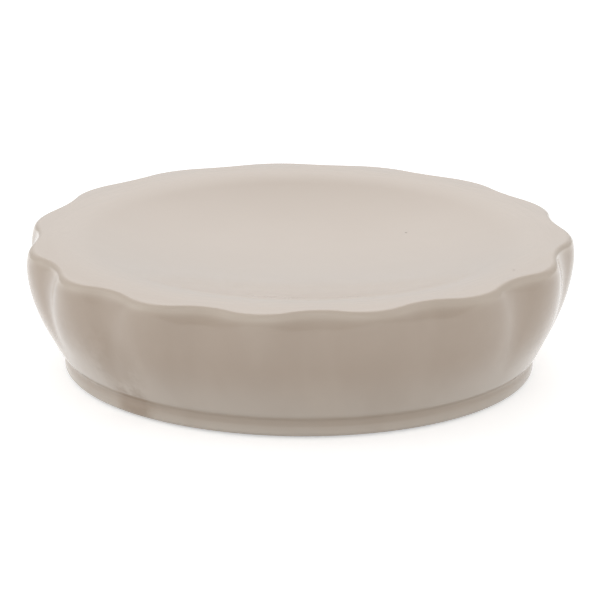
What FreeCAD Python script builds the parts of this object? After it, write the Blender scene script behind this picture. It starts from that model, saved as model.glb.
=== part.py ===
"""Round soap dish: one glazed casting with a lobed wall, standing on four soft pads.

Millimetres, +Z up. The origin is on the dish's axis, at the height of the surface it stands on.
"""
import FreeCAD, Part
import math
import os
import Sketcher

# Driving sizes in millimetres
SIZES = {
    # The casting's outside: the rim is where the lip begins, the belly is below it
    "dish_height": 28.5,
    "rim_radius": 56.25,
    "belly_radius": 56.8,
    "belly_depth": 3.8,
    "heel_radius": 50.5,
    "lip_roll": 1.4,
    # The lobes of the wall
    "lobe_rise": 1.05,
    "heel_rise": 0.02,
    # The groove under the wall
    "groove_depth": 1.9,
    "groove_height": 2.5,
    "heel_round": 0.8,
    "cove_bevel": 0.6,
    "ledge_round": 0.4,
    # The foot ring and the recess that it encloses
    "foot_inset": 1.25,
    "foot_width": 4.75,
    "foot_height": 2.2,
    "foot_bevel": 0.7,
    "recess_depth": 2.0,
    "recess_bevel": 0.6,
    # The basin
    "rim_width": 8.75,
    "basin_depth": 6.4,
    "shoulder_round": 14.0,
    # The pads, their stand below the foot ring and their place in the recess
    "pad_radius": 4.5,
    "pad_stand": 0.5,
    "pad_bevel": 0.5,
    "pad_inset": 4.0,
    # How far a cut or a hidden overlap runs past a face
    "overrun": 1.0,
    # How near to its place an edge is looked for
    "edge_reach": 0.1,
}

# Lobes round the wall, and the share of the wall that bends out in them and not in the valleys
LOBES = 15
LOBE_SHARE = 0.6

# Places of the wall's rings, as shares of the way from heel to rim
WALL_SHARES = (0.0, 0.2, 0.4, 0.6, 0.8, 1.0)

# Places of the lip's rings after the rim, as shares of the lip's turn
LIP_SHARES = (0.25, 0.5, 0.75, 1.0)

# Share of the wall below the belly that is a straight taper
TAPER_SHARE = 0.25

# How fast the lobes grow from heel to rim: a power of the share of the way up
LOBE_GROWTH = 1.3

# Share of the lobes' rise that is left where the lip meets the level top
LIP_RISE_SHARE = 0.65

# The side of the axis that each pad is on, along X and Y, with the front at -Y
PAD_SIDES = {
    "pad_front_left": (-1, -1),
    "pad_front_right": (1, -1),
    "pad_rear_left": (-1, 1),
    "pad_rear_right": (1, 1),
}

# How far the wall leans in at the rim, which is where the lip's turn begins
LEAN = "atan(2 * (Sizes.belly_radius - Sizes.rim_radius) / Sizes.belly_depth)"

# Heights above the surface that the dish stands on
FOOT = "Sizes.pad_stand"
FOOT_TOP = f"({FOOT} + Sizes.foot_height)"
HEEL = f"({FOOT_TOP} + Sizes.groove_height)"
NECK_TOP = f"({HEEL} + Sizes.overrun)"
BASE = f"({FOOT} + Sizes.recess_depth)"
TOP = f"({FOOT} + Sizes.dish_height)"
ABOVE_TOP = f"({TOP} + Sizes.overrun)"
RIM = f"({TOP} - Sizes.lip_roll * (1 - sin({LEAN})))"
WALL_HEIGHT = f"({RIM} - {HEEL})"
BASIN_FLOOR = f"({TOP} - Sizes.basin_depth)"

# Radii, from the heel and the rim inwards
GROOVE_RADIUS = "(Sizes.heel_radius - Sizes.groove_depth)"
FOOT_RADIUS = "(Sizes.heel_radius - Sizes.foot_inset)"
LEDGE_TOP = f"({FOOT_TOP} + {FOOT_RADIUS} - {GROOVE_RADIUS})"
RECESS_RADIUS = f"({FOOT_RADIUS} - Sizes.foot_width)"
PAD_RING_RADIUS = f"({RECESS_RADIUS} - Sizes.pad_inset - Sizes.pad_radius)"
BASIN_RADIUS = "(Sizes.rim_radius - Sizes.rim_width)"

# The points of a sketch's line, arc or circle, and the sketch's origin and upright axis
START = 1
END = 2
CENTRE = 3
ORIGIN = -1
UPRIGHT = -2

doc = FreeCAD.newDocument("soap_dish")
sheet = doc.addObject("Spreadsheet::Sheet", "Sizes")


def fill_sheet():
    """One row for each driving size: its name, and its value with the name as alias."""
    for row, (name, value) in enumerate(SIZES.items(), start=1):
        sheet.set(f"A{row}", name)
        sheet.set(f"B{row}", str(value))
        sheet.setAlias(f"B{row}", name)
    doc.recompute()


def worked_out(expression):
    """The number that an expression in the sheet's sizes comes to."""
    return float(sheet.evalExpression(expression))


def new_body(label):
    body = doc.addObject("PartDesign::Body", label)
    body.Label = label
    return body


def new_sketch(body, name, role):
    """An empty sketch on one of the body's own planes."""
    sketch = body.newObject("Sketcher::SketchObject", name)
    plane = next(f for f in body.Origin.OriginFeatures if f.Role == role)
    sketch.AttachmentSupport = (plane, [""])
    sketch.MapMode = "FlatFace"
    return sketch


def dimension(sketch, kind, where, name, expression):
    """A named dimension of a sketch, tied to the sheet."""
    place = sketch.addConstraint(Sketcher.Constraint(kind, *where, worked_out(expression)))
    sketch.renameConstraint(place, name)
    sketch.setExpression(f"Constraints.{name}", expression)


def short_arc(start, end, radius):
    """The short arc that runs counter-clockwise from start to end."""
    chord = end - start
    left = FreeCAD.Vector(-chord.y, chord.x, 0).normalize()
    centre = (start + end) / 2 + left * math.sqrt(radius ** 2 - chord.Length ** 2 / 4)
    to_start = start - centre
    to_end = end - centre
    circle = Part.Circle(centre, FreeCAD.Vector(0, 0, 1), radius)
    return Part.ArcOfCircle(
        circle,
        math.atan2(to_start.y, to_start.x),
        math.atan2(to_end.y, to_end.x),
    )


def turned_outline(body, name, corners, swells=None):
    """A closed half section to turn about the axis, on the body's upright plane.

    corners are pairs of expressions, radius and height, in counter-clockwise order. swells gives
    the radius of each side that bends out of the section, by the number of its first corner.
    """
    swells = swells or {}
    sketch = new_sketch(body, name, "XZ_Plane")
    points = [FreeCAD.Vector(worked_out(r), worked_out(z), 0) for r, z in corners]
    for side, start in enumerate(points):
        end = points[(side + 1) % len(points)]
        if side in swells:
            sketch.addGeometry(short_arc(start, end, worked_out(swells[side])))
        else:
            sketch.addGeometry(Part.LineSegment(start, end))
    for side, (radius, height) in enumerate(corners):
        before = (side - 1) % len(corners)
        sketch.addConstraint(Sketcher.Constraint("Coincident", before, END, side, START))
        if side in swells:
            dimension(sketch, "Radius", (side,), f"bend{side}", swells[side])
        if radius == "0":
            sketch.addConstraint(Sketcher.Constraint("PointOnObject", side, START, UPRIGHT))
        else:
            dimension(sketch, "DistanceX", (ORIGIN, START, side, START), f"across{side}", radius)
        dimension(sketch, "DistanceY", (ORIGIN, START, side, START), f"up{side}", height)
    return sketch


def turned(body, kind, name, sketch):
    """A full turn of a half section about the axis: a Revolution adds, a Groove cuts."""
    feature = body.newObject(f"PartDesign::{kind}", name)
    feature.Profile = sketch
    feature.ReferenceAxis = (sketch, ["V_Axis"])
    feature.Angle = 360
    doc.recompute()
    return feature


def lofted(body, name, rings):
    """A smooth solid through level rings, added to the body."""
    feature = body.newObject("PartDesign::AdditiveLoft", name)
    feature.Profile = rings[0]
    feature.Sections = rings[1:]
    doc.recompute()
    return feature


def dressed(body, kind, name, base, rings, size):
    """A Fillet or a Chamfer, of a size in the sheet, on the edges of base that lie on level rings.

    Each ring is given as its height and its radius.
    """
    wanted = [(worked_out(height), worked_out(radius)) for height, radius in rings]

    def picked(edge):
        box = edge.BoundBox
        start = edge.valueAt(edge.FirstParameter)
        away = math.hypot(start.x, start.y)
        return any(
            max(abs(box.ZMin - height), abs(box.ZMax - height), abs(away - radius)) < sheet.edge_reach
            for height, radius in wanted
        )

    feature = body.newObject(f"PartDesign::{kind}", name)
    edges = enumerate(base.Shape.Edges, start=1)
    feature.Base = (base, [f"Edge{number}" for number, edge in edges if picked(edge)])
    feature.setExpression("Radius" if kind == "Fillet" else "Size", f"Sizes.{size}")
    doc.recompute()
    return feature


def wall_radius(up):
    """Mean outer radius of the wall at a height above the heel.

    From the rim the wall swells out to the belly. Below it the wall bends in, and then goes
    straight to the heel.
    """
    belly_up = worked_out(WALL_HEIGHT) - sheet.belly_depth
    if up >= belly_up:
        climb_share = (up - belly_up) / sheet.belly_depth
        return sheet.belly_radius - (sheet.belly_radius - sheet.rim_radius) * climb_share ** 2
    fall_share = 1 - up / belly_up
    bend_share = 1 - TAPER_SHARE
    inwards_share = fall_share ** 2
    if fall_share > bend_share:
        inwards_share = bend_share * (2 * fall_share - bend_share)
    inwards_share /= bend_share * (2 - bend_share)
    return sheet.belly_radius - (sheet.belly_radius - sheet.heel_radius) * inwards_share


def polar(radius, angle):
    return FreeCAD.Vector(radius * math.cos(angle), radius * math.sin(angle), 0)


def lobed_arcs(mean, rise, inset):
    """A ring of lobes that stand out by rise, with tangent arcs in the valleys, all moved in by inset."""
    half_pitch = math.pi / LOBES
    crest = mean + rise
    valley = mean - rise
    bend = 1 / (1 / mean + 4 * rise / (LOBE_SHARE * (mean * half_pitch) ** 2))
    lobe_centre = crest - bend
    valley_inset = valley - bend
    valley_centre = (lobe_centre ** 2 - valley_inset ** 2) / (
        2 * (lobe_centre * math.cos(half_pitch) - valley_inset)
    )
    between = polar(valley_centre, half_pitch) - polar(lobe_centre, 0)
    outwards = between.normalize() * math.copysign(1, valley_centre)
    joint = polar(lobe_centre, 0) + outwards * (bend - inset)
    joint_angle = math.atan2(joint.y, joint.x)
    arcs = []
    for lobe in range(LOBES):
        middle = 2 * half_pitch * lobe
        begin = polar(joint.Length, middle - joint_angle)
        end = polar(joint.Length, middle + joint_angle)
        following = polar(joint.Length, middle + 2 * half_pitch - joint_angle)
        arcs.append(Part.Arc(begin, polar(crest - inset, middle), end))
        arcs.append(Part.Arc(end, polar(valley - inset, middle + half_pitch), following))
    return arcs


def wall_ring(body, number, share):
    """The sketch of the wall's ring at a share of the way from heel to rim."""
    sketch = new_sketch(body, f"wall_ring{number}", "XY_Plane")
    sketch.setExpression("AttachmentOffset.Base.z", f"{HEEL} + {share} * {WALL_HEIGHT}")
    rise = sheet.heel_rise + (sheet.lobe_rise - sheet.heel_rise) * share ** LOBE_GROWTH
    sketch.addGeometry(lobed_arcs(wall_radius(share * worked_out(WALL_HEIGHT)), rise, 0))
    return sketch


def lip_ring(body, number, share):
    """The sketch of the lip's ring at a share of its turn from the wall's lean to level."""
    sketch = new_sketch(body, f"lip_ring{number}", "XY_Plane")
    turn = f"({LEAN} + {share} * (90 deg - {LEAN}))"
    sketch.setExpression("AttachmentOffset.Base.z", f"{TOP} - Sizes.lip_roll * (1 - sin({turn}))")
    inset = worked_out(f"Sizes.lip_roll * (cos({LEAN}) - cos({turn}))")
    rise = sheet.lobe_rise * (1 - share * (1 - LIP_RISE_SHARE))
    sketch.addGeometry(lobed_arcs(sheet.rim_radius, rise, inset))
    return sketch


def make_dish_body():
    """The casting: foot ring, lobed wall, rolled lip and basin."""
    body = new_body("dish_body")

    # Foot ring round a recess, and the neck that shows in the groove
    foot_outline = turned_outline(body, "foot_outline", [
        ("0", BASE),
        (RECESS_RADIUS, BASE),
        (RECESS_RADIUS, FOOT),
        (FOOT_RADIUS, FOOT),
        (FOOT_RADIUS, FOOT_TOP),
        (GROOVE_RADIUS, LEDGE_TOP),
        (GROOVE_RADIUS, NECK_TOP),
        ("0", NECK_TOP),
    ])
    turned(body, "Revolution", "foot", foot_outline)

    # Wall that goes from round at the heel to lobed at the rim
    wall_rings = [wall_ring(body, number, share) for number, share in enumerate(WALL_SHARES)]
    lofted(body, "wall", wall_rings)

    # Lip that rolls over from the rim to the level top
    lip_rings = [lip_ring(body, number, share) for number, share in enumerate(LIP_SHARES, start=1)]
    lofted(body, "lip", wall_rings[-1:] + lip_rings)

    # Basin, part of a large sphere, with a soft shoulder
    basin_sphere = f"({BASIN_RADIUS} ^ 2 + Sizes.basin_depth ^ 2) / (2 * Sizes.basin_depth)"
    basin_outline = turned_outline(body, "basin_outline", [
        ("0", BASIN_FLOOR),
        (BASIN_RADIUS, TOP),
        (BASIN_RADIUS, ABOVE_TOP),
        ("0", ABOVE_TOP),
    ], swells={0: basin_sphere})
    basin = turned(body, "Groove", "basin", basin_outline)
    basin_edge = [(TOP, BASIN_RADIUS)]
    shoulder = dressed(body, "Fillet", "shoulder", basin, basin_edge, "shoulder_round")

    # Softened heel, cove and ledge of the groove, and softened edges of the foot ring
    heel_edge = [(HEEL, "Sizes.heel_radius")]
    heel = dressed(body, "Fillet", "heel", shoulder, heel_edge, "heel_round")
    cove_edge = [(HEEL, GROOVE_RADIUS)]
    cove = dressed(body, "Chamfer", "cove", heel, cove_edge, "cove_bevel")
    ledge_edges = [(LEDGE_TOP, GROOVE_RADIUS), (FOOT_TOP, FOOT_RADIUS)]
    ledge = dressed(body, "Fillet", "ledge", cove, ledge_edges, "ledge_round")
    outer_edge = [(FOOT, FOOT_RADIUS)]
    foot_edge = dressed(body, "Chamfer", "foot_edge", ledge, outer_edge, "foot_bevel")
    inner_edge = [(FOOT, RECESS_RADIUS)]
    body.Tip = dressed(body, "Chamfer", "recess_edge", foot_edge, inner_edge, "recess_bevel")
    doc.recompute()
    return body


def make_pad(label, side_x, side_y):
    """One pad: a disc with its lower edge bevelled, against the base inside the foot ring."""
    body = new_body(label)
    outline = new_sketch(body, "disc_outline", "XY_Plane")
    circle = Part.Circle(FreeCAD.Vector(0, 0, 0), FreeCAD.Vector(0, 0, 1), sheet.pad_radius)
    outline.addGeometry(circle)
    outline.addConstraint(Sketcher.Constraint("Coincident", 0, CENTRE, ORIGIN, START))
    dimension(outline, "Radius", (0,), "radius", "Sizes.pad_radius")
    disc = body.newObject("PartDesign::Pad", "disc")
    disc.Profile = outline
    disc.setExpression("Length", BASE)
    doc.recompute()
    lower_edge = [("0", "Sizes.pad_radius")]
    body.Tip = dressed(body, "Chamfer", "bevel", disc, lower_edge, "pad_bevel")
    body.setExpression("Placement.Base.x", f"{side_x} * {PAD_RING_RADIUS} * cos(45 deg)")
    body.setExpression("Placement.Base.y", f"{side_y} * {PAD_RING_RADIUS} * cos(45 deg)")
    doc.recompute()
    return body


def check(bodies):
    """Stops before anything is written if a feature failed or cut nothing, or a solid is unsound."""
    for item in doc.Objects:
        if "Invalid" in item.State or "Error" in item.State:
            raise RuntimeError(f"{item.Label} failed: {item.State}")
    for body in bodies:
        if body.Shape.isNull() or not body.Shape.isValid() or len(body.Shape.Solids) != 1:
            raise RuntimeError(f"{body.Label} is not one sound solid")
        for feature in body.Group:
            if feature.TypeId == "PartDesign::Groove":
                if feature.Shape.Volume >= feature.BaseFeature.Shape.Volume:
                    raise RuntimeError(f"{feature.Label} of {body.Label} cut nothing")


fill_sheet()
bodies = [make_dish_body()]
for pad_label, sides in PAD_SIDES.items():
    bodies.append(make_pad(pad_label, *sides))
doc.recompute()
check(bodies)
os.makedirs("parts", exist_ok=True)
for body in bodies:
    body.Shape.exportStep(f"parts/{body.Label}.step")
    print(f"{body.Label}: {body.Shape.Volume:.0f} cubic mm")
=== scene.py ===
"""Round lobed soap dish: a glazed casting on soft pads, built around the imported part, on a plain stage."""

import math
from typing import NamedTuple

import bpy
from bpy.props import FloatProperty, FloatVectorProperty, IntProperty, PointerProperty
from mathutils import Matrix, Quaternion, Vector


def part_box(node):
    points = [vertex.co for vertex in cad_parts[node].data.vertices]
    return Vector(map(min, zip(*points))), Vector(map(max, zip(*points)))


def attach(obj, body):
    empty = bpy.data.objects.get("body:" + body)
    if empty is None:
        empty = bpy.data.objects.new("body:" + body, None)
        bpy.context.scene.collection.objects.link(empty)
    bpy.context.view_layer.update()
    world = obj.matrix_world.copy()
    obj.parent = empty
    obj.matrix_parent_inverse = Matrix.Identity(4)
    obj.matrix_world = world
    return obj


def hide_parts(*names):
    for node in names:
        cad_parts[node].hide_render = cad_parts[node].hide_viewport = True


bl_info = {
    "name": "Lobed Soap Dish",
    "version": (1, 0, 0),
    "blender": (4, 5, 0),
    "location": "3D View > Sidebar > Soap Dish",
    "description": "Builds a round lobed soap dish, its pads and a plain studio stage",
    "category": "Object",
}

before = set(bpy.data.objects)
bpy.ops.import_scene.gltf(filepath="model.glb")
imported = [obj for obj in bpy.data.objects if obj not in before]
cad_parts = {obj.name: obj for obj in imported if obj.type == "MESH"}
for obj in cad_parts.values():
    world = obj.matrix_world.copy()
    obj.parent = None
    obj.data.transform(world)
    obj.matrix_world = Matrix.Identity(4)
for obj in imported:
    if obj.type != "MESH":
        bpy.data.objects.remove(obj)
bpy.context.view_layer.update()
DISH_LOW, DISH_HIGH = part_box("dish_body")
PADS = ("pad_front_left", "pad_front_right", "pad_rear_left", "pad_rear_right")
PAD_LOW, PAD_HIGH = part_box(PADS[0])
MM = 0.001
QUARTER_TURN = math.pi / 2
WHITE = (1.0, 1.0, 1.0)
BLACK = (0.0, 0.0, 0.0)


def length(name, description, default):
    """A length in metres that a user may change."""
    return FloatProperty(name=name, description=description, default=default, min=0.0, precision=5,
                         subtype="DISTANCE", unit="LENGTH")


def share(name, description, default):
    """A part of a whole, from 0 to 1."""
    return FloatProperty(name=name, description=description, default=default, min=0.0, max=1.0,
                         subtype="FACTOR")


def colour(name, description, default):
    """A linear colour."""
    return FloatVectorProperty(name=name, description=description, default=default, min=0.0, max=1.0, size=3,
                               subtype="COLOR")


def strength(name, description, default):
    """A strength of light."""
    return FloatProperty(name=name, description=description, default=default, min=0.0)


def angle(name, description, degrees):
    """An angle, whose default is given in degrees."""
    return FloatProperty(name=name, description=description, default=math.radians(degrees), subtype="ANGLE",
                         unit="ROTATION")


class DishSettings(bpy.types.PropertyGroup):
    """Sizes and colours of the casting."""
    lobes: IntProperty(name="Lobes", description="Lobes round the wall", default=15, min=3)
    lobe_rise: length("Lobe Rise", "How far a lobe stands out from the mean wall at the rim", 1.1 * MM)
    lip_share: share("Lip Share", "Share of the lobes' rise that is left on top of the lip", 0.85)
    lobe_drift: angle("Lobe Drift", "How far the lobes at the front are set round to the left", 2.7)
    droop: length("Droop", "How far the lip droops at a lobe and lifts at a valley", 0.16 * MM)
    rim_share: share("Rim Share", "Share of the rim that bends outwards, in lobes", 0.52)
    heel_share: share("Heel Share", "The same share at the heel, where the valleys are narrow", 0.85)
    lobe_growth: FloatProperty(name="Lobe Growth", description="How slowly the lobes grow above the heel",
                               default=1.3, min=0.0)
    rim_radius: length("Rim Radius", "Mean radius where the lip begins", 56.25 * MM)
    belly_radius: length("Belly Radius", "Mean radius of the widest ring of the wall", 56.8 * MM)
    belly_depth: length("Belly Depth", "Depth of the widest ring below the rim", 3.7 * MM)
    taper_share: share("Taper Share", "Share of the wall under the belly that is straight", 0.25)
    heel_radius: length("Heel Radius", "Radius of the wall's lower end", 50.5 * MM)
    heel_height: length("Heel Height", "Height of the wall's lower end above the foot", 4.7 * MM)
    heel_round: length("Heel Round", "Softness of the wall's lower end", 4.5 * MM)
    lip_roll: length("Lip Roll", "Radius of the rolled lip", 1.5 * MM)
    basin_radius: length("Basin Radius", "Radius of the basin's edge", 47.5 * MM)
    basin_depth: length("Basin Depth", "Depth of the basin below the top", 6.4 * MM)
    shoulder_round: length("Shoulder Round", "Radius of the basin's soft edge", 36.0 * MM)
    groove_radius: length("Groove Radius", "Radius of the groove's root", 49.1 * MM)
    groove_height: length("Groove Height", "Height of the groove's root above the foot", 3.2 * MM)
    groove_round: length("Groove Round", "Softness of the groove's root", 1.1 * MM)
    ledge_round: length("Ledge Round", "Softness of the foot ring's upper edge", 2.0 * MM)
    foot_radius: length("Foot Radius", "Outer radius of the foot ring", 49.45 * MM)
    foot_height: length("Foot Height", "Height of the foot ring", 2.2 * MM)
    foot_round: length("Foot Round", "Softness of the foot ring's outer edge", 0.9 * MM)
    recess_radius: length("Recess Radius", "Radius of the recess inside the foot ring", 44.5 * MM)
    recess_depth: length("Recess Depth", "Depth of the recess", 2.0 * MM)
    recess_round: length("Recess Round", "Softness of the foot ring's inner edge", 0.6 * MM)
    recess_corner: length("Recess Corner", "Softness of the corner inside the recess", 0.35 * MM)
    unevenness: length("Unevenness", "How far the hand-finished wall strays from true", 0.12 * MM)
    firm_share: share("Firm Share", "Share of the way from the middle to the lip that keeps true", 0.62)
    sag: length("Sag", "How far the lip sags where it sags most", 1.15 * MM)
    sag_turn: angle("Sag Turn", "Where the lip sags most, round from the right towards the back", -145.0)
    seed: IntProperty(name="Seed", description="Seed of the wall's unevenness", default=4, min=0)
    steps: IntProperty(name="Steps", description="Faces round the casting", default=480, min=30)
    glaze: colour("Glaze", "Colour of the glaze on the upper wall", (0.525, 0.424, 0.340))
    # Painted light: the low glaze is paler with painted bounce light and reflection of the floor, turning
    # between Low Start and Low End
    low_glaze_painted_bounce: colour("Low Glaze", "Colour of the glaze near the foot", (0.655, 0.580, 0.500))
    low_start: length("Low Start", "Height above the foot where the low glaze begins to turn", 2.0 * MM)
    low_end: length("Low End", "Height above the foot where the low glaze has turned", 17.0 * MM)
    # Painted light: the top glaze is lighter with painted top light and sheen where the glaze lies level
    top_glaze_painted_light: colour("Top Glaze", "Colour of the glaze where it lies level", (0.595, 0.495, 0.412))
    edge_fade: length("Edge Fade", "How soon the paler glaze of the lip's edge fades down the wall", 0.5 * MM)
    # The pooled glaze also colours the painted shade in the groove and the painted dark reflections on the
    # lower left wall
    pooled_and_painted_dark_glaze: colour("Pooled Glaze", "Colour of the glaze where it runs thick", (0.46, 0.36, 0.275))
    pool_and_shade_reach: length("Pool Reach", "How far from the groove's root the glaze pools", 2.2 * MM)
    thin_glaze: colour("Thin Glaze", "Colour of the glaze where it runs thin", (0.68, 0.585, 0.49))
    pinhole: colour("Pinhole", "Colour inside the pinholes of the glaze", (0.16, 0.105, 0.07))
    biscuit: colour("Biscuit", "Colour of the bare clay on the foot", (0.74, 0.69, 0.62))
    bare_height: length("Bare Height", "Height up to which the foot ring is bare of glaze", 0.25 * MM)


class PadSettings(bpy.types.PropertyGroup):
    """Sizes and colours of the pads."""
    radius: length("Radius", "Radius of a pad", (PAD_HIGH.x - PAD_LOW.x) / 2)
    thickness: length("Thickness", "Thickness of a pad", PAD_HIGH.z - PAD_LOW.z)
    top_round: length("Top Round", "Softness of a pad's upper edge", 0.15 * MM)
    edge_round: length("Edge Round", "Softness of a pad's lower edge", 0.6 * MM)
    hollow_depth: length("Hollow Depth", "Depth of the shallow hollow in a pad's lower face", 0.15 * MM)
    hollow_round: length("Hollow Round", "Softness of the hollow's edges", 0.8 * MM)
    hollow_share: share("Hollow Share", "Share of the radius where the hollow begins", 0.66)
    bottom_share: share("Bottom Share", "Share of the radius where the hollow is full deep", 0.5)
    steps: IntProperty(name="Steps", description="Faces round a pad", default=96, min=12)
    rubber: colour("Rubber", "Colour of the pads", (0.62, 0.61, 0.585))
    dust: colour("Dust", "Colour of the dust on the pads", (0.35, 0.33, 0.31))


class StageSettings(bpy.types.PropertyGroup):
    """Camera, floor and light."""
    azimuth: angle("Azimuth", "Where the camera stands round the dish", -0.09)
    elevation: angle("Elevation", "How high the camera stands above the rim's plane", 16.16)
    distance: length("Distance", "From the camera to the middle of the rim's plane", 0.898)
    lens: FloatProperty(name="Lens", description="Focal length in millimetres", default=256.7, min=1.0,
                        subtype="DISTANCE_CAMERA", unit="CAMERA")
    across: angle("Across", "How far the camera points to the right of the rim's middle", 0.0088)
    down: angle("Down", "How far the camera points below the rim's middle", 0.901)
    roll: angle("Roll", "Turn of the camera about its own axis", -0.485)
    floor: colour("Floor", "Colour of the floor", (0.86, 0.86, 0.86))
    floor_reach: length("Floor Reach", "From the middle of the floor to its sides", 4.0)
    floor_glow: strength("Floor Glow", "Light that the floor adds for the camera", 0.52)
    sky_even: strength("Even Sky", "Light of the sky from all round", 0.53)
    sky_front: strength("Front Sky", "Light that the sky adds above the camera", 0.62)
    sky_back: strength("Back Sky", "Light that the sky adds behind the dish", 1.3)
    sky_left: strength("Left Sky", "Light that the sky adds on the left", 0.53)
    sky_right: strength("Right Sky", "Light that the sky adds on the right", 0.3)
    sky_low_back: strength("Low Back Sky", "Light that the sky adds low behind the dish", 0.26)
    sky_low_left: strength("Low Left Sky", "Light that the sky adds low on the left", 0.8)
    sky_low_right: strength("Low Right Sky", "Light that the sky adds low on the right", 0.4)


def plug(node, sockets):
    """Gives a node's sockets their values or wires."""
    for key, value in sockets.items():
        if isinstance(value, Wire):
            node.id_data.links.new(value.node.outputs[value.output], node.inputs[key])
        else:
            node.inputs[key].default_value = value


def both_ways(operation):
    """The two methods of an operator: with the wire on its left, and with the wire on its right."""
    def left(wire, other):
        return Wire.new(wire.tree, "ShaderNodeMath", {"operation": operation}, {0: wire, 1: other})

    def right(wire, other):
        return Wire.new(wire.tree, "ShaderNodeMath", {"operation": operation}, {0: other, 1: wire})

    return left, right


class Wire:
    """One output of a node. Sums on it add Math nodes to its tree."""

    def __init__(self, node, output=0):
        self.node = node
        self.output = output
        self.tree = node.id_data

    @classmethod
    def new(cls, tree, kind, settings=None, sockets=None, output=0):
        """A new node: its settings go in first, then the values or wires of its sockets."""
        node = tree.nodes.new(kind)
        for name, value in (settings or {}).items():
            setattr(node, name, value)
        plug(node, sockets or {})
        return cls(node, output)

    def out(self, output):
        """Another output of the same node."""
        return Wire(self.node, output)

    def maths(self, operation, *values):
        """A Math node that starts with this wire."""
        return Wire.new(self.tree, "ShaderNodeMath", {"operation": operation},
                        dict(enumerate((self, *values))))

    def vector(self, operation, *values, output="Vector"):
        """A Vector Math node that starts with this wire."""
        return Wire.new(self.tree, "ShaderNodeVectorMath", {"operation": operation},
                        dict(enumerate((self, *values))), output)

    __add__, __radd__ = both_ways("ADD")
    __sub__, __rsub__ = both_ways("SUBTRACT")
    __mul__, __rmul__ = both_ways("MULTIPLY")
    __truediv__, __rtruediv__ = both_ways("DIVIDE")
    __pow__, __rpow__ = both_ways("POWER")
    __mod__, __rmod__ = both_ways("FLOORED_MODULO")
    __gt__, __lt__ = both_ways("GREATER_THAN")


# The turning: the inputs of its node tree, the noise of the wall's slow wander, and the gap that it welds
TURNING_INPUTS = {
    "Profile": "Geometry",
    "Steps": "Int",
    "Lobes": "Int",
    "Lobe Rise": "Float",
    "Lobe Drift": "Float",
    "Droop": "Float",
    "Unevenness": "Float",
    "Seed": "Int",
    "Sag": "Float",
    "Sag Turn": "Float",
    "Middle": "Vector",
    "Finish": "Material",
}
WANDER_SCALE = 2.2
WANDER_DETAIL = 1.5
WANDER_RISE = 25.0
SEED_STEP = 7.31
NOISE_MEAN = 0.5
WELD = 0.002 * MM


class Row(NamedTuple):
    """A point of a half section, with what the turning reads there.

    Rise is the share of the lobes' rise that the point takes and outward the share of a lobe that bends
    outwards. Loose is how far it may stray and sag, bare how bare of glaze it is, level how level it lies.
    """
    radius: float
    height: float
    rise: float = 0.0
    outward: float = 0.5
    loose: float = 0.0
    bare: float = 0.0
    level: float = 0.0


def lobe_wave(turn, lobes, drift, outward):
    """Lobes, from 1 to -1: a curve that bends out over its outward share of the half pitch, then in."""
    fore = (turn.maths("SINE") * -1.0).maths("MAXIMUM", 0.0)
    pitches = (turn + fore * drift) * lobes / math.tau
    away = ((pitches + 0.5) % 1.0 - 0.5).maths("ABSOLUTE") * 2.0
    lobe = 1.0 - away * away * 2.0 / outward
    valley = (1.0 - away) ** 2.0 * 2.0 / (1.0 - outward) - 1.0
    return lobe + (valley - lobe) * (away > outward)


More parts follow.
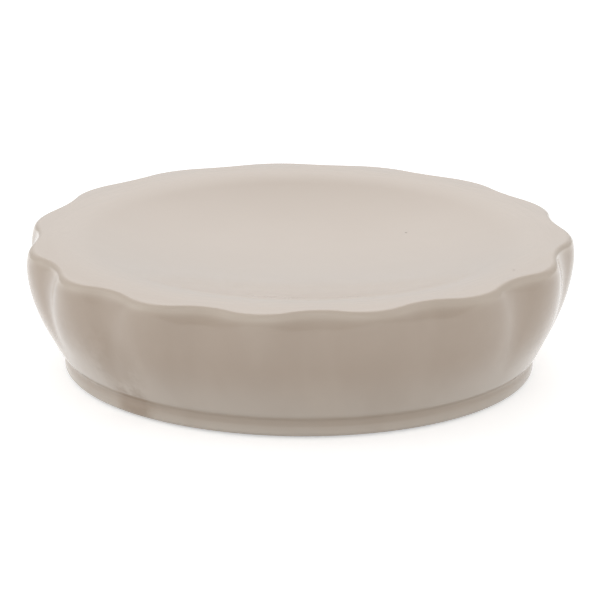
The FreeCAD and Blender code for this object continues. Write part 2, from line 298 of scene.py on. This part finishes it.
def turning_tree():
    """Node tree that turns a half section about the upright axis, with lobes in its wall."""
    tree = bpy.data.node_groups.new("Lobed Turning", "GeometryNodeTree")
    for name, kind in TURNING_INPUTS.items():
        tree.interface.new_socket(name, in_out="INPUT", socket_type=f"NodeSocket{kind}")
    tree.interface.new_socket("Turning", in_out="OUTPUT", socket_type="NodeSocketGeometry")

    def add(kind, settings=None, sockets=None):
        return Wire.new(tree, kind, settings, sockets)

    given = add("NodeGroupInput").out
    rows = add("GeometryNodeAttributeDomainSize", {"component": "MESH"}, {"Geometry": given("Profile")})
    grid = add("GeometryNodeMeshGrid", None, {"Vertices X": given("Steps") + 1, "Vertices Y": rows})
    index = add("GeometryNodeInputIndex")
    row = index % rows
    turn = (index / rows).maths("FLOOR") / given("Steps") * math.tau

    def sampled(kind, field):
        return add("GeometryNodeSampleIndex", {"data_type": kind, "domain": "POINT"},
                   {"Geometry": given("Profile"), "Value": field, "Index": row})

    def carried(name):
        field = add("GeometryNodeInputNamedAttribute", {"data_type": "FLOAT"}, {"Name": name})
        return sampled("FLOAT", field)

    point = sampled("FLOAT_VECTOR", add("GeometryNodeInputPosition"))
    ways = add("ShaderNodeSeparateXYZ", None, {"Vector": point}).out
    height = ways("Z")
    cosine = turn.maths("COSINE")
    sine = turn.maths("SINE")
    loose = carried("loose")
    crest = lobe_wave(turn, given("Lobes"), given("Lobe Drift"), carried("outward")) * carried("rise")

    # Unevenness: a slow wander of the wall in and out
    around = add("ShaderNodeCombineXYZ", None, {"X": cosine, "Y": sine, "Z": height * WANDER_RISE})
    wander = add("ShaderNodeTexNoise", {"noise_dimensions": "4D"},
                 {"Vector": around, "W": given("Seed") * SEED_STEP, "Scale": WANDER_SCALE,
                  "Detail": WANDER_DETAIL})
    stray = (wander - NOISE_MEAN) * 2.0 * given("Unevenness") * loose

    # Sag: the lip and the wall under it hang a little lower on one side
    facing = (turn - given("Sag Turn")).maths("COSINE").maths("MAXIMUM", 0.0)
    hang = facing * facing * loose * loose * given("Sag")

    out = ways("X") + crest * given("Lobe Rise") + stray
    up = height - hang - crest * given("Droop")
    place = add("ShaderNodeCombineXYZ", None, {"X": out * cosine, "Y": out * sine, "Z": up})
    place = place.vector("ADD", given("Middle"))
    shape = add("GeometryNodeSetPosition", None, {"Geometry": grid, "Position": place})
    for name, value in (("crest", crest), ("bare", carried("bare")), ("level", carried("level"))):
        shape = add("GeometryNodeStoreNamedAttribute", {"data_type": "FLOAT", "domain": "POINT"},
                    {"Geometry": shape, "Name": name, "Value": value})
    shape = add("GeometryNodeMergeByDistance", None, {"Geometry": shape, "Distance": WELD})
    shape = add("GeometryNodeSetShadeSmooth", None, {"Geometry": shape, "Shade Smooth": True})
    shape = add("GeometryNodeRealizeInstances", None, {"Geometry": shape})
    shape = add("GeometryNodeSetMaterial", None, {"Geometry": shape, "Material": given("Finish")})
    add("NodeGroupOutput", None, {"Turning": shape})
    return tree


def added(name, data):
    """A new object in the scene, at the origin."""
    item = bpy.data.objects.new(name, data)
    bpy.context.scene.collection.objects.link(item)
    return item


def turned_piece(name, section, inputs):
    """A plain mesh turned from a half section by the node tree, with its place in its mesh."""
    mesh = bpy.data.meshes.new(f"{name}_section")
    points = [(row.radius, 0.0, row.height) for row in section]
    mesh.from_pydata(points, [(n, n + 1) for n in range(len(points) - 1)], [])
    for field in ("rise", "outward", "loose", "bare", "level"):
        layer = mesh.attributes.new(field, "FLOAT", "POINT")
        layer.data.foreach_set("value", [getattr(row, field) for row in section])
    draft = added(f"{name}_draft", mesh)
    tree = bpy.data.node_groups.get("Lobed Turning") or turning_tree()
    modifier = draft.modifiers.new("Turning", "NODES")
    modifier.node_group = tree
    for item in tree.interface.items_tree:
        if item.in_out == "INPUT" and item.name in inputs:
            modifier[item.identifier] = inputs[item.name]
    graph = bpy.context.evaluated_depsgraph_get()
    made = bpy.data.meshes.new_from_object(draft.evaluated_get(graph), depsgraph=graph)
    made.name = name
    bpy.data.objects.remove(draft)
    bpy.data.meshes.remove(mesh)
    if not made.polygons:
        raise RuntimeError(f"{name} came out empty")
    return added(name, made)


def arc(middle, radius, start, end, steps):
    """Points of an arc in the plane of radius and height, angles from the outward level."""
    turns = [start + (end - start) * n / steps for n in range(steps + 1)]
    return [(middle[0] + radius * math.cos(t), middle[1] + radius * math.sin(t)) for t in turns]


def softened(corners, steps):
    """A path through corners, each given as radius, height and the radius of its round."""
    path = []
    for n, (across, up, soft) in enumerate(corners):
        if not soft:
            path.append((across, up))
            continue
        here = Vector((across, up))
        back = (Vector(corners[n - 1][:2]) - here).normalized()
        on = (Vector(corners[n + 1][:2]) - here).normalized()
        half = back.angle(on) / 2
        reach = soft / math.tan(half)
        middle = here + (back + on).normalized() * (soft / math.sin(half))
        first = here + back * reach - middle
        last = here + on * reach - middle
        start = math.atan2(first.y, first.x)
        path += arc(middle, soft, start, start - first.angle_signed(last), steps)
    return path


# Rows of each stretch of the casting's half section. The wall's last rows give way to the heel's round
BASIN_ROWS = 36
SHOULDER_ROWS = 8
TOP_ROWS = 6
LIP_ROWS = 14
WALL_ROWS = 56
HEEL_ROWS = 4
CORNER_ROWS = 7
PAD_CORNER_ROWS = 8

# How level the glaze lies on the lip's edge, how loose the heel is, and how soon the valleys narrow
EDGE_LEVEL_SHARE = 0.5
HEEL_LOOSE_SHARE = 0.25
VALLEY_NARROWING = 3

# Where an added row keeps the shading of a flat face even, as a share of its radius or height
FLAT_SHARE = 0.5
SIDE_SHARE = 0.4


class CastingSection:
    """Half section of the casting, from the middle of the basin over the lip to the middle of the base."""

    def __init__(self, dish):
        self.dish = dish
        self.foot = DISH_LOW.z
        self.top = DISH_HIGH.z
        self.heel = self.foot + dish.heel_height
        self.lean = math.atan(2 * (dish.belly_radius - dish.rim_radius) / dish.belly_depth)
        self.rim = self.top - dish.lip_roll * (1 - math.sin(self.lean))
        self.lip_out = dish.rim_radius - dish.lip_roll * math.cos(self.lean)
        self.sphere = (dish.basin_radius ** 2 + dish.basin_depth ** 2) / (2 * dish.basin_depth)
        self.sphere_up = self.top - dish.basin_depth + self.sphere
        self.shoulder_up = self.top - dish.shoulder_round
        self.shoulder_out = math.sqrt((self.sphere + dish.shoulder_round) ** 2
                                      - (self.sphere_up - self.shoulder_up) ** 2)

    def rows(self):
        """All rows, in order."""
        wall = self.wall()
        return [*self.basin(), *self.flat_top(), *self.lip(), *wall, *self.underside(wall[-1])]

    def loose(self, radius):
        """How far the top may stray and sag: not at all in the middle, and fully at the lip."""
        firm = self.dish.firm_share
        return max(0.0, (radius / self.lip_out - firm) / (1 - firm))

    def basin(self):
        """The round basin and the soft shoulder at its edge."""
        edge = math.atan2(self.shoulder_out, self.sphere_up - self.shoulder_up)
        turns = [edge * math.sin(QUARTER_TURN * n / BASIN_ROWS) for n in range(BASIN_ROWS + 1)]
        bowl = [(self.sphere * math.sin(t), self.sphere_up - self.sphere * math.cos(t)) for t in turns]
        shoulder = arc((self.shoulder_out, self.shoulder_up), self.dish.shoulder_round,
                       QUARTER_TURN + edge, QUARTER_TURN, SHOULDER_ROWS)
        return [Row(r, z, outward=self.dish.rim_share, loose=self.loose(r), level=1.0)
                for r, z in bowl + shoulder[1:]]

    def flat_top(self):
        """The flat top, which takes on the lobes as it goes out."""
        rows = []
        for n in range(1, TOP_ROWS):
            way = n / TOP_ROWS
            r = self.shoulder_out + (self.lip_out - self.shoulder_out) * way
            rows.append(Row(r, self.top, way * self.dish.lip_share, self.dish.rim_share, self.loose(r),
                            level=1.0))
        return rows

    def lip(self):
        """The rolled lip, where the lobes reach their full rise."""
        dish = self.dish
        roll = arc((self.lip_out, self.top - dish.lip_roll), dish.lip_roll, QUARTER_TURN, self.lean, LIP_ROWS)
        rows = []
        for n, (r, z) in enumerate(roll):
            way = n / LIP_ROWS
            rise = dish.lip_share + (1 - dish.lip_share) * way
            rows.append(Row(r, z, rise, dish.rim_share, loose=1.0, level=1 - (1 - EDGE_LEVEL_SHARE) * way))
        return rows

    def wall_radius(self, up):
        """Mean radius at a height above the heel: bowed round the belly and straight near the heel."""
        dish = self.dish
        belly_up = self.rim - self.heel - dish.belly_depth
        if up >= belly_up:
            bow = ((up - belly_up) / dish.belly_depth) ** 2
            return dish.belly_radius - (dish.belly_radius - dish.rim_radius) * bow
        bend = 1 - dish.taper_share
        fall = 1 - up / belly_up
        inwards = fall ** 2 if fall <= bend else bend * (2 * fall - bend)
        return dish.belly_radius - (dish.belly_radius - dish.heel_radius) * inwards / (bend * (2 - bend))

    def wall(self):
        """The wall from the rim down, whose lobes fade towards the heel."""
        dish = self.dish
        wall_height = self.rim - self.heel
        rows = []
        for n in range(1, WALL_ROWS - HEEL_ROWS + 1):
            way = 1 - n / WALL_ROWS
            up = wall_height * way
            outward = dish.heel_share + (dish.rim_share - dish.heel_share) * way ** VALLEY_NARROWING
            loose = HEEL_LOOSE_SHARE + (1 - HEEL_LOOSE_SHARE) * way
            level = EDGE_LEVEL_SHARE * math.exp((up - wall_height) / dish.edge_fade)
            rows.append(Row(self.wall_radius(up), self.heel + up, way ** dish.lobe_growth, outward, loose,
                            level=level))
        return rows

    def underside(self, last):
        """The heel's round, the groove, the foot ring and the recess, on from the wall's last row."""
        dish = self.dish
        base = self.foot + dish.recess_depth
        path = softened([
            (last.radius, last.height, 0.0),
            (dish.heel_radius, self.heel, dish.heel_round),
            (dish.groove_radius, self.foot + dish.groove_height, dish.groove_round),
            (dish.foot_radius, self.foot + dish.foot_height, dish.ledge_round),
            (dish.foot_radius, self.foot, dish.foot_round),
            (dish.recess_radius, self.foot, dish.recess_round),
            (dish.recess_radius, base, dish.recess_corner),
            (dish.recess_radius * FLAT_SHARE, base, 0.0),
            (0.0, base, 0.0),
        ], CORNER_ROWS)
        bare_below = self.foot + dish.bare_height
        return [Row(r, z, outward=dish.heel_share, bare=float(z < bare_below)) for r, z in path[1:]]


def pad_section(pad):
    """Rows of a pad's half section, from the middle of its upper face to the middle of its lower face."""
    path = softened([
        (0.0, pad.thickness, 0.0),
        (pad.radius * FLAT_SHARE, pad.thickness, 0.0),
        (pad.radius, pad.thickness, pad.top_round),
        (pad.radius, pad.thickness * SIDE_SHARE, 0.0),
        (pad.radius, 0.0, pad.edge_round),
        (pad.radius * pad.hollow_share, 0.0, pad.hollow_round),
        (pad.radius * pad.bottom_share, pad.hollow_depth, pad.hollow_round),
        (0.0, pad.hollow_depth, 0.0),
    ], PAD_CORNER_ROWS)
    return [Row(r, z) for r, z in path]


# Sockets of a Mix node for colours, whose names it gives to other sockets too
MIX_FACTOR = 0
MIX_FIRST = 6
MIX_SECOND = 7
MIX_RESULT = 2


class Veil(NamedTuple):
    """A cloudy layer of a finish: its noise, its strength, and the span of the noise where it comes in."""
    scale: float
    detail: float
    strength: float
    span: tuple = (0.0, 1.0)
    rough: float = 0.5


def new_material(name):
    """A new material, with its node tree and its shader."""
    material = bpy.data.materials.new(name)
    material.use_nodes = True
    tree = material.node_tree
    return material, tree, tree.nodes["Principled BSDF"]


def mixed(factor, first, second):
    """A colour between two, each a colour or a wire."""
    def whole(value):
        return value if isinstance(value, Wire) else (*value, 1.0)

    sockets = {MIX_FACTOR: factor, MIX_FIRST: whole(first), MIX_SECOND: whole(second)}
    return Wire.new(factor.tree, "ShaderNodeMix", {"data_type": "RGBA"}, sockets, MIX_RESULT)


def ranged(wire, low, high):
    """A wire's value eased from 0 at the low value to 1 at the high one, and held beyond them."""
    return Wire.new(wire.tree, "ShaderNodeMapRange", {"interpolation_type": "SMOOTHSTEP"},
                    {"Value": wire, "From Min": low, "From Max": high})


def noise(spot, veil):
    """A veil's noise at a place."""
    return Wire.new(spot.tree, "ShaderNodeTexNoise", None,
                    {"Vector": spot, "Scale": veil.scale, "Detail": veil.detail, "Roughness": veil.rough})


def distance(spot, place):
    """How far a spot is from a place that is given in millimetres."""
    return spot.vector("DISTANCE", tuple(MM * c for c in place), output="Value")


# Layers of the glaze
THIN_RUNS = Veil(scale=75.0, detail=2.0, strength=0.22, span=(0.5, 0.7))
POOLED_RUNS = THIN_RUNS._replace(strength=0.18, span=(0.5, 0.3))
RUNS_STRETCH = (1.0, 1.0, 0.2)
DRIFT = Veil(scale=22.0, detail=3.0, strength=0.10, span=(0.3, 0.7))
CLOUD = Veil(scale=120.0, detail=4.0, strength=0.06, span=(0.45, 0.75), rough=0.6)
EDGE_STRENGTH = 0.75
CREST_STRENGTH = 0.08
CREST_SPAN = (0.2, 1.0)
# Strength of the groove's pooled glaze and of the painted shade under the heel
GROOVE_POOL_AND_SHADE = 0.55

# Painted dark reflections on the lower left wall and painted shade in the groove under them: place and reach
# in millimetres, and strength
PAINTED_DARK_PATCHES = (
    ((-47.0, -26.5, 17.5), 5.0, 0.6),
    ((-37.5, -37.4, 12.5), 8.0, 0.6),
    ((-32.9, -36.3, 3.6), 5.0, 0.9),
)
MARK_SPAN = (0.2, 1.0)
MARK_BREAKUP = 0.7

# Pinholes in the glaze that the photograph shows, as places in millimetres, and rare ones all over
PINHOLES = ((22.7, 15.5, 24.6), (43.7, -26.0, 29.0), (32.3, -44.6, 17.7), (-27.0, -42.0, 29.0))
PINHOLE_SPAN = (0.15 * MM, 0.36 * MM)
PINHOLE_STRENGTH = 0.75
RARE_SCALE = 95.0
RARE_SPAN = (0.012, 0.026)
RARE_LIMIT = 0.965

# Bare clay on the foot
CLAY_GRAIN = Veil(scale=900.0, detail=5.0, strength=0.35, span=(0.3, 0.7), rough=0.7)
CLAY_SHADE = 0.72
WEAR = Veil(scale=260.0, detail=3.0, strength=0.5, span=(0.35, 0.65))

# Roughness and coat of the glaze, and what clay and pinholes add to its roughness
GLAZE_ROUGHNESS = 0.13
DULLNESS = Veil(scale=60.0, detail=4.0, strength=0.07, span=(0.35, 0.75))
CLAY_ROUGHNESS = 0.6
PINHOLE_ROUGHNESS = 0.3
COAT = 0.15
COAT_ROUGHNESS = 0.04
GLAZE_IOR = 1.5

# Relief of the glaze: slow swells, rings inside the lip, grain of the clay and pinholes
SWELL = Veil(scale=70.0, detail=1.0, strength=0.7)
RINGS = Veil(scale=1.0, detail=2.0, strength=0.9)
RINGS_PER_METRE = 700.0
RINGS_AROUND = 7.0
RINGS_START = (44.0 * MM, 49.0 * MM)
RINGS_END = (52.5 * MM, 55.0 * MM)
GRAIN_RELIEF = 0.15
PINHOLE_RELIEF = 0.6
RELIEF_HEIGHT = 0.25 * MM
RELIEF_STRENGTH = 0.35


def glaze_tone(dish, spot, level, crest):
    """Colour of the glaze: paler low down with painted bounce light, lighter where level with painted top
    light, paler on the lip's edge, drawn into runs, pooled in the groove with painted shade there, and
    darkened in patches by painted dark reflections.
    """
    height = Wire.new(spot.tree, "ShaderNodeSeparateXYZ", None, {"Vector": spot}, "Z")
    upright = 1.0 - level
    # Painted bounce light from the floor: the glaze turns paler towards the foot
    low = 1.0 - ranged(height, DISH_LOW.z + dish.low_start, DISH_LOW.z + dish.low_end)
    tone = mixed(low, dish.glaze, dish.low_glaze_painted_bounce)
    # Painted top light and sheen: lighter where the glaze lies level
    tone = mixed(level, tone, dish.top_glaze_painted_light)

    # The lip's edge is half level, where level times upright is a quarter
    edge = level * upright * 4.0
    tone = mixed(edge * EDGE_STRENGTH, tone, dish.thin_glaze)

    # Runs down the wall, slow drift, cloud, crests of the lobes, and the groove's pooled glaze with painted
    # shade
    runs = noise(spot.vector("MULTIPLY", RUNS_STRETCH), THIN_RUNS)
    tone = mixed(ranged(runs, *THIN_RUNS.span) * upright * THIN_RUNS.strength, tone, dish.thin_glaze)
    tone = mixed(ranged(runs, *POOLED_RUNS.span) * upright * POOLED_RUNS.strength, tone, dish.pooled_and_painted_dark_glaze)
    drift = ranged(noise(spot, DRIFT), *DRIFT.span)
    tone = mixed(drift * DRIFT.strength, tone, dish.pooled_and_painted_dark_glaze)
    cloud = ranged(noise(spot, CLOUD), *CLOUD.span)
    tone = mixed(cloud * CLOUD.strength, tone, dish.thin_glaze)
    tone = mixed(ranged(crest, *CREST_SPAN) * CREST_STRENGTH, tone, dish.thin_glaze)
    # Pooled glaze in the groove, darkened further as painted shade under the heel's overhang
    from_groove = (height - (DISH_LOW.z + dish.groove_height)).maths("ABSOLUTE")
    groove = 1.0 - ranged(from_groove, 0.0, dish.pool_and_shade_reach)
    tone = mixed(groove * GROOVE_POOL_AND_SHADE, tone, dish.pooled_and_painted_dark_glaze)

    # Painted dark reflections and shade, broken up by the cloud in the glaze
    for place, reach, strong in PAINTED_DARK_PATCHES:
        away = distance(spot, place) / (reach * MM) + (cloud - NOISE_MEAN) * MARK_BREAKUP
        tone = mixed((1.0 - ranged(away, *MARK_SPAN)) * strong, tone, dish.pooled_and_painted_dark_glaze)
    return tone


def glaze_pinholes(spot):
    """Mask of the pinholes: a few cells of a pattern all over, and the named places."""
    cells = Wire.new(spot.tree, "ShaderNodeTexVoronoi", None, {"Vector": spot, "Scale": RARE_SCALE}).out
    chosen = Wire.new(spot.tree, "ShaderNodeSeparateColor", None, {"Color": cells("Color")})
    pinholes = (1.0 - ranged(cells("Distance"), *RARE_SPAN)) * (chosen > RARE_LIMIT)
    for place in PINHOLES:
        pinholes = pinholes.maths("MAXIMUM", 1.0 - ranged(distance(spot, place), *PINHOLE_SPAN))
    return pinholes


def lip_rings(spot, level):
    """Relief of the fine rings that the glaze left inside the lip as it ran down to the basin."""
    ways = Wire.new(spot.tree, "ShaderNodeSeparateXYZ", None, {"Vector": spot}).out
    across = ways("X")
    along = ways("Y")
    radius = (across * across + along * along) ** 0.5
    around = along.maths("ARCTAN2", across)
    drawn = Wire.new(spot.tree, "ShaderNodeCombineXYZ", None,
                     {"X": radius * RINGS_PER_METRE, "Y": around * RINGS_AROUND})
    within = ranged(radius, *RINGS_START) * (1.0 - ranged(radius, *RINGS_END)) * level
    return noise(drawn, RINGS) * within * RINGS.strength


def glaze_material(dish):
    """Glossy glaze with pinholes, worn to bare clay on the face of the foot ring."""
    material, tree, shader = new_material("glaze")
    spot = Wire.new(tree, "ShaderNodeTexCoord", output="Object")

    def carried(name):
        return Wire.new(tree, "ShaderNodeAttribute", {"attribute_name": name}, output="Fac")

    level = carried("level")
    pinholes = glaze_pinholes(spot)
    tone = glaze_tone(dish, spot, level, carried("crest"))
    tone = mixed(pinholes * PINHOLE_STRENGTH, tone, dish.pinhole)

    grain = noise(spot, CLAY_GRAIN)
    dark_clay = tuple(c * CLAY_SHADE for c in dish.biscuit)
    clay = mixed(ranged(grain, *CLAY_GRAIN.span) * CLAY_GRAIN.strength, dish.biscuit, dark_clay)
    frayed = carried("bare") + (noise(spot, WEAR) - NOISE_MEAN) * WEAR.strength
    worn = ranged(frayed, *WEAR.span)

    roughness = GLAZE_ROUGHNESS + ranged(noise(spot, DULLNESS), *DULLNESS.span) * DULLNESS.strength
    relief = noise(spot, SWELL) * SWELL.strength + lip_rings(spot, level)
    relief = relief + grain * worn * GRAIN_RELIEF - pinholes * PINHOLE_RELIEF
    bump = Wire.new(tree, "ShaderNodeBump", None,
                    {"Height": relief, "Distance": RELIEF_HEIGHT, "Strength": RELIEF_STRENGTH})
    plug(shader, {
        "Base Color": mixed(worn, tone, clay),
        "Roughness": roughness + worn * CLAY_ROUGHNESS + pinholes * PINHOLE_ROUGHNESS,
        "Coat Weight": COAT - worn * COAT,
        "Coat Roughness": COAT_ROUGHNESS,
        "IOR": GLAZE_IOR,
        "Normal": bump,
    })
    return material


# Layers, roughness and relief of the rubber
BLOOM = Veil(scale=350.0, detail=4.0, strength=0.3, span=(0.35, 0.7))
BLOOM_LIFT = 1.18
BLOOM_ROUGHNESS = 0.2
DUST = Veil(scale=1600.0, detail=3.0, strength=0.35, span=(0.62, 0.75))
RUBBER_ROUGHNESS = 0.42
RUBBER_IOR = 1.42
RUBBER_GRAIN = Veil(scale=900.0, detail=3.0, strength=0.3)
RUBBER_RELIEF = 0.05 * MM


def rubber_material(pad):
    """Milky soft rubber with a faint bloom and a little dust."""
    material, tree, shader = new_material("pad_rubber")
    spot = Wire.new(tree, "ShaderNodeTexCoord", output="Object")
    bloom = ranged(noise(spot, BLOOM), *BLOOM.span)
    dust = ranged(noise(spot, DUST), *DUST.span)
    milky = tuple(min(1.0, c * BLOOM_LIFT) for c in pad.rubber)
    tone = mixed(bloom * BLOOM.strength, pad.rubber, milky)
    bump = Wire.new(tree, "ShaderNodeBump", None, {"Height": noise(spot, RUBBER_GRAIN),
                                                   "Distance": RUBBER_RELIEF,
                                                   "Strength": RUBBER_GRAIN.strength})
    plug(shader, {
        "Base Color": mixed(dust * DUST.strength, tone, pad.dust),
        "Roughness": RUBBER_ROUGHNESS + bloom * BLOOM_ROUGHNESS,
        "IOR": RUBBER_IOR,
        "Normal": bump,
    })
    return material


class SOAPDISH_OT_casting(bpy.types.Operator):
    """Turns the glazed casting with its lobed wall"""
    bl_idname = "soapdish.casting"
    bl_label = "Casting"

    def execute(self, context):
        dish = context.scene.soap_dish
        piece = turned_piece("casting", CastingSection(dish).rows(), {
            "Steps": dish.steps,
            "Lobes": dish.lobes,
            "Lobe Rise": dish.lobe_rise,
            "Lobe Drift": dish.lobe_drift,
            "Droop": dish.droop,
            "Unevenness": dish.unevenness,
            "Seed": dish.seed,
            "Sag": dish.sag,
            "Sag Turn": dish.sag_turn,
            "Finish": glaze_material(dish),
        })
        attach(piece, "root")
        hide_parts("dish_body")
        return {"FINISHED"}


class SOAPDISH_OT_pads(bpy.types.Operator):
    """Turns the four soft pads under the base"""
    bl_idname = "soapdish.pads"
    bl_label = "Pads"

    def execute(self, context):
        pad = context.scene.soap_dish_pads
        finish = rubber_material(pad)
        for node in PADS:
            low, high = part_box(node)
            piece = turned_piece(f"soft_{node}", pad_section(pad), {
                "Steps": pad.steps,
                "Lobes": 1,
                "Middle": ((low.x + high.x) / 2, (low.y + high.y) / 2, low.z),
                "Finish": finish,
            })
            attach(piece, "root")
            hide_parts(node)
        return {"FINISHED"}


# The sky's soft glows: degrees round from the camera towards the right, and degrees up
HIGH_UP = 40.0
LOW_UP = 8.0
GLOWS = {
    "sky_front": (0.0, HIGH_UP),
    "sky_back": (180.0, HIGH_UP),
    "sky_left": (270.0, HIGH_UP),
    "sky_right": (90.0, HIGH_UP),
    "sky_low_back": (180.0, LOW_UP),
    "sky_low_left": (270.0, LOW_UP),
    "sky_low_right": (90.0, LOW_UP),
}
GLOW_TIGHTNESS = 12.0

# The camera's sensor in millimetres, and the nearest thing that it sees in metres
SENSOR_WIDTH = 36.0
NEAREST = 0.01


class SOAPDISH_OT_stage(bpy.types.Operator):
    """Sets the floor, the sky and the camera"""
    bl_idname = "soapdish.stage"
    bl_label = "Stage"

    def execute(self, context):
        stage = context.scene.soap_dish_stage
        self.floor(stage)
        self.light(context, stage)
        self.camera(context, stage)
        context.scene.view_settings.view_transform = "Standard"
        return {"FINISHED"}

    def floor(self, stage):
        """A wide pale floor that looks white to the camera where no shadow falls."""
        reach = stage.floor_reach
        mesh = bpy.data.meshes.new("floor")
        corners = [(-reach, -reach, 0.0), (reach, -reach, 0.0), (reach, reach, 0.0), (-reach, reach, 0.0)]
        mesh.from_pydata(corners, [], [(0, 1, 2, 3)])
        material, tree, shader = new_material("pale_floor")
        rays = Wire.new(tree, "ShaderNodeLightPath").out
        seen = rays("Is Camera Ray").maths("MAXIMUM", rays("Is Glossy Ray"))
        seen = seen.maths("MAXIMUM", rays("Is Transmission Ray"))
        plug(shader, {
            "Base Color": (*stage.floor, 1.0),
            "Roughness": 1.0,
            "IOR": 1.0,
            "Emission Color": mixed(seen, BLACK, WHITE),
            "Emission Strength": stage.floor_glow,
        })
        mesh.materials.append(material)
        floor = added("floor", mesh)

    def light(self, context, stage):
        """A sky with soft glows all round, like a white tent."""
        world = bpy.data.worlds.new("sky")
        context.scene.world = world
        world.use_nodes = True
        tree = world.node_tree
        way = Wire.new(tree, "ShaderNodeTexCoord", output="Generated")
        glow = stage.sky_even
        for name, (around, up) in GLOWS.items():
            aim = Vector((0.0, -math.cos(math.radians(up)), math.sin(math.radians(up))))
            aim.rotate(Quaternion((0.0, 0.0, 1.0), math.radians(around)))
            facing = way.vector("DOT_PRODUCT", tuple(aim), output="Value").maths("MAXIMUM", 0.0)
            glow = glow + facing ** GLOW_TIGHTNESS * getattr(stage, name)
        plug(tree.nodes["Background"], {"Color": (*WHITE, 1.0), "Strength": glow})

    def camera(self, context, stage):
        """The photograph's view, with the rim's middle above the middle of the picture."""
        data = bpy.data.cameras.new("camera")
        data.lens = stage.lens
        data.sensor_width = SENSOR_WIDTH
        data.clip_start = NEAREST
        camera = added("camera", data)
        level = math.cos(stage.elevation)
        back = Vector((math.sin(stage.azimuth) * level, -math.cos(stage.azimuth) * level,
                       math.sin(stage.elevation)))
        camera.location = Vector((0.0, 0.0, DISH_HIGH.z)) + back * stage.distance
        right = Vector((math.cos(stage.azimuth), math.sin(stage.azimuth), 0.0))
        ahead = Quaternion(right, -stage.down) @ -back
        ahead = Quaternion(right.cross(-back), -stage.across) @ ahead
        camera.rotation_mode = "QUATERNION"
        camera.rotation_quaternion = Quaternion(ahead, stage.roll) @ ahead.to_track_quat("-Z", "Y")
        context.scene.camera = camera


class SOAPDISH_PT_panel(bpy.types.Panel):
    """Lists the sizes, the colours and the steps that build the dish"""
    bl_idname = "SOAPDISH_PT_panel"
    bl_label = "Soap Dish"
    bl_space_type = "VIEW_3D"
    bl_region_type = "UI"
    bl_category = "Soap Dish"

    def draw(self, context):
        for group, operator in STEPS:
            box = self.layout.box()
            settings = getattr(context.scene, group)
            for name in settings.bl_rna.properties.keys():
                if name not in ("rna_type", "name"):
                    box.prop(settings, name)
            box.operator(operator)


STEPS = (
    ("soap_dish", "soapdish.casting"),
    ("soap_dish_pads", "soapdish.pads"),
    ("soap_dish_stage", "soapdish.stage"),
)
GROUPS = {"soap_dish": DishSettings, "soap_dish_pads": PadSettings, "soap_dish_stage": StageSettings}
CLASSES = (*GROUPS.values(), SOAPDISH_OT_casting, SOAPDISH_OT_pads, SOAPDISH_OT_stage, SOAPDISH_PT_panel)


def register():
    for item in CLASSES:
        bpy.utils.register_class(item)
    for name, group in GROUPS.items():
        setattr(bpy.types.Scene, name, PointerProperty(type=group))


def unregister():
    for name in GROUPS:
        delattr(bpy.types.Scene, name)
    for item in reversed(CLASSES):
        bpy.utils.unregister_class(item)


def main():
    register()
    bpy.ops.soapdish.casting()
    bpy.ops.soapdish.pads()
    bpy.ops.soapdish.stage()


if __name__ == "__main__":
    main()
